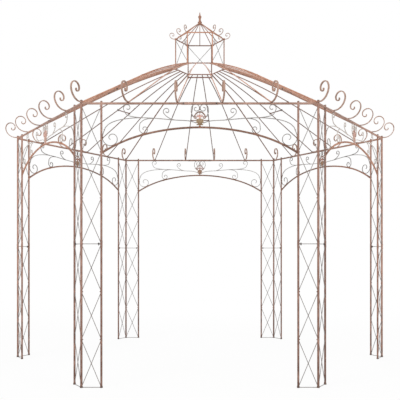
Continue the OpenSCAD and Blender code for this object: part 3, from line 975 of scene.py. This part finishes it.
# %% Screws in the sleeves
pan_head = turned([(0, -0.9), (3.8, -0.9), (4.0, 0.3), (3.5, 1.5), (2.2, 2.2), (1.5, 2.3),
                   (1.1, 1.2), (0, 1.1)], 12)
SCREW_OFF = 0.017
screws = []
for place, tube_d in upright_places:
    outward = (place.to_translation() * Vector((1, 1, 0))).normalized()
    aim = outward.to_track_quat("Z", "Y").to_matrix().to_4x4()
    stand = place.to_translation() + outward * (tube_d / 2 + SLEEVE_T / 2)
    for rise in (-SCREW_OFF, SCREW_OFF):
        screws.append(Matrix.Translation(stand + Vector((0, 0, JOINT_H + rise))) @ aim)


def rib_seam(r0, r1):
    """Where a rib's straight part ends: its distance out and its height."""
    bend = Vector((r0 + (r1 - r0) * BEND_RUN, RAIL_TOP + (RING_H - RAIL_TOP) * BEND_RISE))
    start, end = Vector((r0, RAIL_TOP)), Vector((r1, RING_H))
    return bend - (end - bend).length * (bend - start).normalized()


def rib_screw(r0, r1, rib_d):
    """Place on top of a rib's seam, for a screw that stands square to the rib."""
    seam = rib_seam(r0, r1)
    return move(seam.x, 0, seam.y) @ turn(rib_slope(r0, r1), "Y") @ move(0, 0, rib_d / 2 + SLEEVE_T / 2)


RIB_XS = (-OUTER_RIB_X, -INNER_RIB_X, INNER_RIB_X, OUTER_RIB_X)
for i in SIDES:
    screws.append(on_corner(i) @ rib_screw(SIDE_LEN, RING_R, HIP_D))
    for x in RIB_XS:
        screws.append(on_side(i) @ on_rib(x) @ rib_screw(*rib_ends(x), RIB_D))
stamp("sleeve_screws", pan_head, screws, dark_steel)

# %% [markdown]
# ### Weld beads
#
# Each bar is held by short beads and not by neat fillets. They are small, but they are what
# makes crossing rods look joined and not merely overlapping. In the columns the places
# follow from the same measures as the rods: a bead where two rods cross and one at each end,
# except at the ground, where the feet stand.

# %% Welds of the columns
NEAR_GROUND = 0.05
rod_foot = ROD_D / 2 + 0.001
rod_top = EAVE_H - RAIL_D / 2 - 2 * ROD_D
rod_weld = bead(9, 7, 8)
end_weld = bead(10, 8, 9)
lattice_spots = []
for low, high in ((rod_foot, JOINT_H), (JOINT_H, rod_top)):
    rise = (high - low) / CROSSES
    for k in range(CROSSES):
        lattice_spots.append((rod_weld, (TUBE_X + HALF) / 2, low + rise * (k + 0.5)))
    for k in range(CROSSES + 1):
        if low + rise * k > NEAR_GROUND:
            lattice_spots.append((end_weld, TUBE_X + SIDE_TUBE_D / 2 + 0.0015, low + rise * k))
            lattice_spots.append((end_weld, HALF - POST_D / 2 - 0.0015, low + rise * k))
lattice_welds = together(*[(shape, on_side(i) @ mirror @ move(x, -APOTHEM, z))
                           for i in SIDES for mirror in MIRRORS for shape, x, z in lattice_spots])
bmesh.ops.recalc_face_normals(lattice_welds, faces=lattice_welds.faces)
keep_piece("lattice_welds", lattice_welds, weld_iron)

# %% [markdown]
# On the roof, beads lie at the foot and the top of each rib and at the tail of the scroll
# behind it. A corner has one outside its post and one where the hip starts. Each of the
# lantern's twelve scrolls has one where it leaves the lantern's upper ring.

# %% Welds of the roof and the scrolls
rib_foot_weld = bead(17, 15, 7)
rib_top_weld = bead(13, 16, 14)
tail_weld = bead(15, 17, 6)
post_weld = bead(8, 17, 10)
lantern_weld = bead(9, 9, 5)
roof_welds = []
for i in SIDES:
    for x in RIB_XS:
        r0, r1 = rib_ends(x)
        line = on_side(i) @ on_rib(x)
        roof_welds.append((rib_foot_weld, line @ move(r0 - 0.001, 0, RAIL_TOP + 0.0005)))
        roof_welds.append((rib_top_weld, line @ move(r1 + 0.006, 0, RING_H - 0.001)))
        roof_welds.append((tail_weld, line @ move(r0 + 0.007, 0, RAIL_TOP + 0.001)))
    corner = on_corner(i)
    roof_welds.append((post_weld, corner @ move(SIDE_LEN + POST_D / 2 + 0.001, 0, RAIL_TOP + 0.001)))
    roof_welds.append((rib_foot_weld, corner @ move(SIDE_LEN - POST_D / 2 - 0.002, 0, RAIL_TOP + 0.006)))
    roof_welds.append((lantern_weld, corner @ move(RING_R + RING_D / 2 + 0.004, 0, LANTERN_EAVE_H - 0.001)))
    on_ring = move(0, -RING_APOTHEM - 0.003, LANTERN_EAVE_H + RING_D / 2)
    roof_welds.append((lantern_weld, on_side(i) @ on_ring))
keep_piece("roof_welds", together(*roof_welds), weld_iron)

# %% [markdown]
# The scrolls of a header touch one another, the rail, the arch and the outer tube. The
# touching points are shares of the way out and of the way up in the corner above the arch.
# Where the arch meets the tube, a row of beads runs on along the arc, as a long weld does.

# %% Welds of the headers
def header_point(u, v):
    """Place in the corner above an arch, in shares of the way out and of the way up."""
    return u * TUBE_X, SPRING_H + v * HEADER_DROP


TOUCHES = ((0.27, 0.668), (0.397, 0.692), (0.49, 0.703), (0.608, 0.711), (0.97, 0.47), (0.734, 0.985),
           (0.04, 0.985), (0.072, 0.745))
header_spots = [(bead(13, 8, 8), *header_point(u, v)) for u, v in TOUCHES]
header_spots.append((bead(22, 15, 11), *header_point(0.573, 0.395)))
header_spots.append((bead(10, 13, 20), *header_point(0.985, 0.31)))
foot_angle = atan2(SPRING_H - HAUNCH_H, TUBE_X - HAUNCH_X)
row_r = HAUNCH_R + 0.006
for k in range(7):
    angle = foot_angle + (0.012 + 0.008 * k)
    header_spots.append((bead(11, 19, 12), HAUNCH_X + row_r * cos(angle) - 0.001 * k,
                         HAUNCH_H + row_r * sin(angle)))
header_welds = together(*[(shape, on_side(i) @ mirror @ move(x, -APOTHEM, z))
                          for i in SIDES for mirror in MIRRORS for shape, x, z in header_spots])
bmesh.ops.recalc_face_normals(header_welds, faces=header_welds.faces)
keep_piece("header_welds", header_welds, weld_iron)

# %% [markdown]
# ## Castings
#
# On the crown of each arch sits a small casting: a leaf on a foot, and over it an open panel
# with two volutes beside a stem, under a round brow. These castings take the place of the
# frame's plain ones, because a founder's pattern has drafted edges and domed faces. They
# could be carved out of a block, but two kinds of shape make them whole: a plate whose
# outline is filled, thickened and set back in steps, and a round-backed bar along a line.

# %% Scale of the castings
CAST_UNIT = CAST_H / 100


def on_cast(x, z, face_y=0.0):
    """A point of the casting, in hundredths of its height above the arch."""
    return Vector((x * CAST_UNIT, face_y * CAST_UNIT, CROWN_H + z * CAST_UNIT))


print(f"a casting stands {CAST_H:.3f} m high on the arch")

# %% [markdown]
# A plate starts as one face with many corners, which is extruded to its thickness. Both
# faces are then inset and lifted twice, each time by less, which gives them a soft dome.

# %% Domed plates
def mirrored(line):
    """The line's points, flipped from left to right."""
    return [(-x, z) for x, z in line]


def domed_plate(half_outline, thick, rise):
    """A plate between the outline and its mirror image, both faces of which rise in steps."""
    bm = bmesh.new()
    outline = half_outline + mirrored(reversed(half_outline))
    back = bm.faces.new([bm.verts.new(on_cast(x, z, thick / 2)) for x, z in outline])
    grown = bmesh.ops.extrude_face_region(bm, geom=[back], use_keep_orig=True)
    moved = [item for item in grown["geom"] if isinstance(item, bmesh.types.BMVert)]
    bmesh.ops.translate(bm, verts=moved, vec=(0, -thick * CAST_UNIT, 0))
    bmesh.ops.recalc_face_normals(bm, faces=bm.faces)
    ends = [face for face in bm.faces if len(face.verts) > 4]
    for inset, share in ((0.8, 0.6), (1.6, 0.4)):
        for face in ends:
            bmesh.ops.inset_region(bm, faces=[face], thickness=inset * CAST_UNIT, use_even_offset=True)
            lift = face.normal.normalized() * rise * CAST_UNIT * share
            bmesh.ops.translate(bm, verts=face.verts, vec=lift)
    bmesh.ops.triangulate(bm, faces=[face for face in bm.faces if len(face.verts) > 4])
    return bm


print("both faces of a plate rise in two steps")

# %% [markdown]
# A bar follows its line through a ring of corners at each point, set square to the line.
# Neighbouring rings are joined by faces and the two ends are closed. A curve with a bevel
# would draw it too, but here the bar can be wide across the casting and thinner through it.

# %% Drawn bars
def drawn_bar(line, widths, thick, sides=8):
    """A round-backed bar along a line on the casting, its width changing evenly from end to end."""
    bm = bmesh.new()
    rings = []
    for k, (x, z) in enumerate(line):
        before, after = line[max(k - 1, 0)], line[min(k + 1, len(line) - 1)]
        along = Vector((after[0] - before[0], after[1] - before[1])).normalized()
        width = widths[0] + (widths[1] - widths[0]) * k / (len(line) - 1)
        ring_corners = []
        for s in range(sides):
            angle = 2 * pi * s / sides
            aside = width / 2 * cos(angle)
            ring_corners.append(bm.verts.new(on_cast(x - along.y * aside, z + along.x * aside,
                                                     thick / 2 * sin(angle))))
        rings.append(ring_corners)
    for lower, upper in zip(rings, rings[1:]):
        for s in range(sides):
            t = (s + 1) % sides
            bm.faces.new((lower[s], lower[t], upper[t], upper[s]))
    bm.faces.new(rings[0])
    bm.faces.new(rings[-1])
    bmesh.ops.recalc_face_normals(bm, faces=bm.faces)
    return bm


def volute_line(x, z, r0, r1, a0, a1, steps):
    """Points of a spiral round x, z, from the radius r0 at the angle a0 to r1 at a1."""
    points = []
    for k in range(steps + 1):
        share = k / steps
        angle = radians(a0 + (a1 - a0) * share)
        radius = r0 + (r1 - r0) * share
        points.append((x + radius * cos(angle), z + radius * sin(angle)))
    return points


print("a line of a volute has", len(volute_line(0, 0, 9, 3, 0, 360, 20)), "points")

# %% [markdown]
# ### Leaf and foot
#
# The leaf is a plate with seven lobes, and a smaller plate lies raised on it. Thin spikes
# that taper from the middle rib are its veins. It stands on a turned foot that saddles the
# arch. The outlines are given for one half, in hundredths of the casting's height.

# %% Leaf and foot
LEAF = [(3.5, 6), (7, 8), (20, 8), (22.5, 11), (17.5, 15.5), (12, 20), (18, 21.5), (25.5, 24.5),
        (25, 30), (19.5, 33), (24, 36.5), (23.5, 42), (17, 43.5), (16, 48), (8, 50)]
INNER_LEAF = [(3, 10), (12, 12), (8.5, 20), (17.5, 27), (12.5, 33), (16, 40), (8, 46)]
leaf_face, inner_face = 3.9, 5.9
VEINS = ((0, 13, 10, 14, inner_face), (0, 19, 14.5, 26, inner_face), (0, 29, 12, 38, inner_face),
         (10, 15, 20, 10.5, leaf_face), (13, 25, 23.5, 26, leaf_face), (13, 35, 22, 39, leaf_face))
leaf_shapes = [(domed_plate(LEAF, 5, 1.4), STAY), (domed_plate(INNER_LEAF, 8.4, 1.8), STAY),
               (tapered(on_cast(0, 11, inner_face), on_cast(0, 45, inner_face), 0.0026, 0.0012), STAY)]
for x0, z0, x1, z1, face in VEINS:
    for flip in BOTH_WAYS:
        leaf_shapes.append((tapered(on_cast(flip * x0, z0, face), on_cast(flip * x1, z1, face),
                                    0.0018, 0.0007), STAY))
foot_shape = turned([(0, -5.5), (9.4, -5.5), (9.8, -4.0), (9.4, 1.4), (7.6, 3.0), (5.4, 4.6), (5.0, 7.6),
                     (6.6, 10.2), (6.0, 13.5), (0, 16.5)], 16)
leaf_shapes.append((foot_shape, Matrix.Translation(on_cast(0, 0))))
print("a leaf is made of", len(leaf_shapes), "shapes")

# %% [markdown]
# ### Brow and panel
#
# The brow is one bar that comes down from the top and runs on into a volute, which keeps it
# one flowing form, with a rim below and a turned knob above. The open panel under it has a
# stem, two volutes and a button on each face. Pearls sit in the eyes of the volutes.

# %% Brow, panel and volutes
brow_line = [(0, 94), (7.5, 93.2), (15, 90), (22, 84.8), (28, 78), (32, 71.8)]
brow_line += volute_line(28.6, 59.6, 9.6, 3.6, 58, -300, 20)
rim_line = [(9, 46.5), (15, 46), (20, 46.6), (24.5, 48.4), (28, 50.6)]
top_knob = turned([(0, -3.0), (4.6, -3.0), (5.6, 0.4), (3.6, 4.2), (3.0, 5.6), (4.2, 7.8), (3.0, 10.6),
                   (1.5, 13.6), (0, 17.4)], 12)
brow_shapes = [(top_knob, Matrix.Translation(on_cast(0, 90)))]
panel_line = [(3.4, 50), (3.0, 57), (3.2, 63)] + volute_line(12.5, 66, 9.0, 3.4, 175, -230, 18)
panel_shapes = [(drawn_bar([(0, 44), (0, 56), (0, 70), (0, 92)], (6.4, 5.0), 7.5), STAY)]
for half_of in (list, mirrored):
    brow_shapes.append((drawn_bar(half_of(brow_line), (9.4, 4.2), 9.0), STAY))
    brow_shapes.append((drawn_bar(half_of(rim_line), (4.2, 3.6), 6.5), STAY))
    panel_shapes.append((drawn_bar(half_of(panel_line), (5.4, 3.6), 7.0), STAY))
button = turned([(0, -1.0), (5.2, -1.0), (5.4, 0.4), (4.2, 0.9), (3.4, 0.7), (2.6, 1.9), (0, 2.6)], 14)
panel_shapes.append((button, Matrix.Translation(on_cast(0, 62, -3.4)) @ turn(90, "X")))
panel_shapes.append((button, Matrix.Translation(on_cast(0, 62, 3.4)) @ turn(-90, "X")))
for x, z, pearl_r, shapes in ((28.6, 59.6, 0.0028, brow_shapes), (12.5, 65.6, 0.0030, panel_shapes)):
    for flip in BOTH_WAYS:
        pearl = bmesh.new()
        bmesh.ops.create_icosphere(pearl, subdivisions=2, radius=pearl_r)
        bmesh.ops.scale(pearl, verts=pearl.verts, vec=(1, 1.9, 1))
        shapes.append((pearl, Matrix.Translation(on_cast(flip * x, z))))
print("a brow is made of", len(brow_shapes), "shapes and a panel of", len(panel_shapes))

# %% [markdown]
# One casting serves all six crowns. Its plates, bars and knobs reach through to both faces,
# but a vein lies on one face only, so the veins are laid on the far face by half a turn.

# %% Castings on the six crowns
def six_times(shapes, one_sided=()):
    """The shapes on every side's crown; the one-sided ones lie on both of the casting's faces."""
    far_faces = [(shape, turn(180, "Z") @ place) for shape, place in one_sided]
    whole = together(*shapes, *far_faces)
    return together(*[(whole, on_side(i) @ move(0, -APOTHEM, 0)) for i in SIDES])


leaves = keep_piece("casting_leaves", six_times(leaf_shapes, leaf_shapes[2:-1]), leaf_paint)
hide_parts("header_castings")
keep_piece("casting_brows", six_times(brow_shapes), brow_paint)
keep_piece("casting_panels", six_times(panel_shapes), panel_paint)

# %% [markdown]
# ## Rings of the lantern
#
# The lantern's posts stand in sockets on the crown ring and carry sockets of their own. A
# thin bead is rolled round both rims of each, and the boss and the finial carry turned
# mouldings. All of them are rings: a small closed outline spun at its distance.

# %% Rolled rims and mouldings
def ring(radius, thick, segments):
    """A round-backed ring at that radius, in millimetres."""
    h = thick / 2
    return turned([(radius - h, -h), (radius + 0.3 * h, -h), (radius + h, -0.3 * h),
                   (radius + h, 0.3 * h), (radius + 0.3 * h, h), (radius - h, h)], segments)


SOCKET_D = RING_D + 2 * SLEEVE_T + 0.002
rim_rise = SOCKET_D / 2 - 0.0014
rim_places = [on_corner(i) @ move(RING_R, 0, level + edge * rim_rise)
              for i in SIDES for level in (RING_H, LANTERN_EAVE_H) for edge in BOTH_WAYS]
stamp("socket_rims", ring(SOCKET_D * 500, 2.2, 14), rim_places, rose_tube)

BOSS_MM = 4 * RIB_D * 1000
mouldings = together((ring(BOSS_MM / 2, 3.0, 24), move(0, 0, APEX_H - 0.0035)),
                     (ring(BOSS_MM / 2, 3.0, 24), move(0, 0, APEX_H - 0.0205)),
                     (ring(0.56 * BOSS_MM, 2.6, 20), move(0, 0, APEX_H + 0.003)),
                     (ring(0.455 * BOSS_MM, 2.4, 20), move(0, 0, APEX_H + 0.0625)))
keep_piece("finial_mouldings", mouldings, rose_tube)

# %% [markdown]
# ## Paint the frame
#
# Last, the solids of the frame get their finishes. The nodes have plain names, and what a
# node is made of follows from how its name ends, so a short list of endings serves them
# all. The first ending that fits counts, which is why the rear rails stand before the rest.

# %% Paint the frame
# The rear rails come first; their tube has painted shade.
FINISH_BY_ENDING = (("back_eave_rail", shaded_rear_rail_tube), ("back_left_eave_rail", shaded_rear_rail_tube),
                    ("back_right_eave_rail", shaded_rear_rail_tube), ("_eave_rail", eave_rail_tube),
                    ("_corner_post", antique_brown_tube),
                    ("hip_rafters", rose_tube), ("crown_ring", antique_brown_tube),
                    ("lantern_cage", cage_iron), ("lantern_roof", rose_tube),
                    ("_lattice_left", lattice_iron), ("_lattice_right", lattice_iron),
                    ("_arched_header", header_iron), ("_roof_ribs", rib_iron),
                    ("eave_scrolls", scroll_iron), ("lantern_scrolls", scroll_iron),
                    ("header_castings", leaf_paint), ("finial", rose_tube))
for name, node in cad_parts.items():
    finish = next(material for ending, material in FINISH_BY_ENDING if name.endswith(ending))
    node.data.materials.clear()
    node.data.materials.append(finish)
print("painted", len(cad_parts), "nodes")
